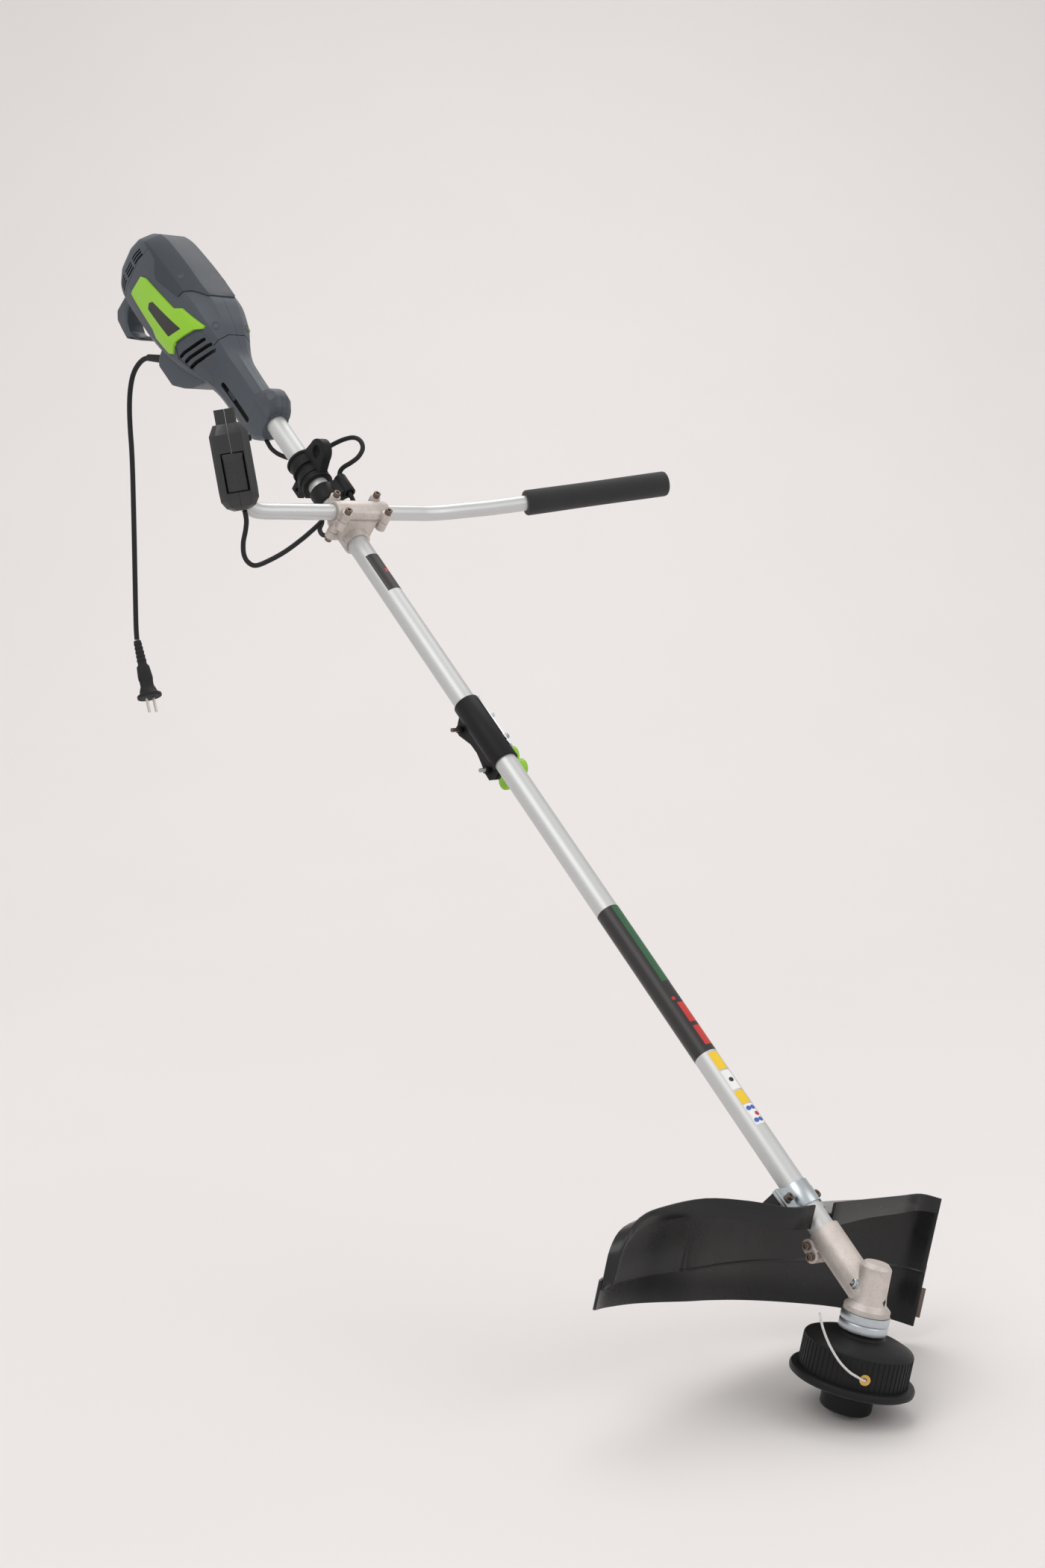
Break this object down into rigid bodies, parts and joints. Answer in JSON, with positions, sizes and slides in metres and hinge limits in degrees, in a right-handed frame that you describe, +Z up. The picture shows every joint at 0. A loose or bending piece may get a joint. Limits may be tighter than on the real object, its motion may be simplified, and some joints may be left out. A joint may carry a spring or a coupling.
{
  "type": "string trimmer",
  "caption": "Corded electric string trimmer: rear motor housing, split straight shaft, cross handlebar with throttle grip, angled gearbox, rear guard and bump-feed line head.",
  "frame": {"origin": "centre of the harness eye, where the trimmer hangs from its strap", "axes": "+Z up, +X to the operator's right, +Y forward; the shaft lies in the Y-Z plane, pitched 41.8 degrees down towards the head"},
  "size_m": [0.6549, 1.3902, 1.2488],
  "materials": {
    "grey_shell": "fine moulded texture, satin",
    "green_plastic": "satin gloss",
    "black_plastic": "satin moulded",
    "black_gloss": "glossy moulded",
    "rubber": "matt",
    "foam": "closed-cell foam, matt",
    "drawn_aluminium": "satin anodised",
    "cast_aluminium": "as cast, fine grain",
    "zinc_plate": "bright zinc",
    "steel": "machined",
    "dark_bolt": "dark bronze-toned plating",
    "copper": "wound copper and steel",
    "brass": "polished",
    "nylon": "translucent monofilament"
  },
  "bodies": {
    "main_frame": {"housing_right": "grey_shell", "housing_left": "grey_shell", "rear_cover": "grey_shell", "side_panel_right": "green_plastic", "side_panel_left": "green_plastic", "strain_relief": "rubber", "mains_cord": "rubber", "plug": "rubber", "stator": "steel", "upper_tube": "drawn_aluminium", "harness_clamp": "black_plastic", "cable_clip": "black_plastic", "control_lead_upper": "rubber", "control_lead_lower": "rubber", "clamp_base": "cast_aluminium", "bar_cap": "cast_aluminium", "tube_cap": "cast_aluminium", "bar_cap_bolt_1": "dark_bolt", "bar_cap_bolt_2": "dark_bolt", "bar_cap_bolt_3": "dark_bolt", "bar_cap_bolt_4": "dark_bolt", "tube_cap_bolt_1": "dark_bolt", "tube_cap_bolt_2": "dark_bolt", "coupler_sleeve": "black_plastic", "coupler_bolt": "dark_bolt", "latch_strip": "zinc_plate"},
    "motor_rotor": {"armature": "copper", "motor_fan": "black_plastic", "upper_drive_shaft": "steel"},
    "handlebar_assembly": {"handlebar": "drawn_aluminium", "foam_grip": "foam", "throttle_case_left": "black_plastic", "throttle_case_right": "black_plastic"},
    "throttle": {"throttle_trigger": "black_plastic"},
    "lock_out": {"lock_button": "black_plastic"},
    "knob": {"clamp_knob": "green_plastic"},
    "latch": {"latch_pin": "steel"},
    "lower_boom": {"lower_tube": "drawn_aluminium", "bracket_band": "zinc_plate", "bracket_plate": "zinc_plate", "bracket_bolt_1": "dark_bolt", "bracket_bolt_2": "dark_bolt", "guard": "black_gloss", "guard_skirt": "black_gloss", "line_cutter": "steel", "gearbox": "cast_aluminium", "gearbox_bolt_1": "dark_bolt", "gearbox_bolt_2": "dark_bolt"},
    "lower_drive": {"lower_drive_shaft": "steel", "bevel_pinion": "steel"},
    "cutting_head": {"output_shaft": "steel", "drive_flange": "zinc_plate", "head_cap": "black_plastic", "head_cover": "black_plastic", "line_eyelet_1": "brass", "line_eyelet_2": "brass", "trimmer_line": "nylon"},
    "bump": {"bump_knob": "black_plastic"},
    "line_spool": {"spool": "black_plastic"}
  },
  "joints": [
    {"name": "motor_spin", "type": "hinge", "parent": "main_frame", "child": "motor_rotor", "pos_m": [0, -0.24664, 0.17424], "axis": [0, 0.7455, -0.6665], "continuous": true},
    {"name": "handlebar_tilt", "type": "hinge", "parent": "main_frame", "child": "handlebar_assembly", "pos_m": [0, 0.07535, -0.07475], "axis": [1, 0, 0], "range_deg": [-15, 15], "deforming": ["control_lead_lower"]},
    {"name": "throttle_squeeze", "type": "hinge", "parent": "handlebar_assembly", "child": "throttle", "pos_m": [0.18892, 0.08914, -0.01313], "axis": [-0.8193, 0.5485, 0.1668], "range_deg": [0, 7], "stiffness_Nm_per_rad": 0.8, "springref_deg": -3.44},
    {"name": "lock_press", "type": "slide", "parent": "handlebar_assembly", "child": "lock_out", "axis": [0.8193, -0.5485, -0.1668], "range_m": [0, 0.003], "stiffness_N_per_m": 600, "springref_m": -0.002},
    {"name": "knob_turn", "type": "hinge", "parent": "main_frame", "child": "knob", "pos_m": [0, 0.32647, -0.36701], "axis": [1, 0, 0], "continuous": true},
    {"name": "latch_pull", "type": "slide", "parent": "main_frame", "child": "latch", "axis": [-0.6561, 0.503, 0.5626], "range_m": [0, 0.003], "stiffness_N_per_m": 800, "springref_m": -0.002},
    {"name": "boom_slide", "type": "slide", "parent": "main_frame", "child": "lower_boom", "axis": [0, 0.7455, -0.6665], "range_m": [0, 0.03]},
    {"name": "drive_spin", "type": "hinge", "parent": "lower_boom", "child": "lower_drive", "pos_m": [0, 0.72248, -0.69225], "axis": [0, 0.7455, -0.6665], "continuous": true},
    {"name": "head_spin", "type": "hinge", "parent": "lower_boom", "child": "cutting_head", "pos_m": [0.00376, 0.88302, -0.8571], "axis": [0.1878, -0.0986, -0.9773], "continuous": true},
    {"name": "bump_press", "type": "slide", "parent": "cutting_head", "child": "bump", "axis": [-0.1878, 0.0986, 0.9773], "range_m": [0, 0.005], "stiffness_N_per_m": 1500, "springref_m": -0.004},
    {"name": "spool_turn", "type": "hinge", "parent": "bump", "child": "line_spool", "pos_m": [0.0122, 0.87858, -0.90108], "axis": [-0.1878, 0.0986, 0.9773], "continuous": true}
  ],
  "couplings": [
    {"joint": "drive_spin", "follows": "motor_spin", "ratio": 1},
    {"joint": "head_spin", "follows": "motor_spin", "ratio": 0.68421}
  ]
}
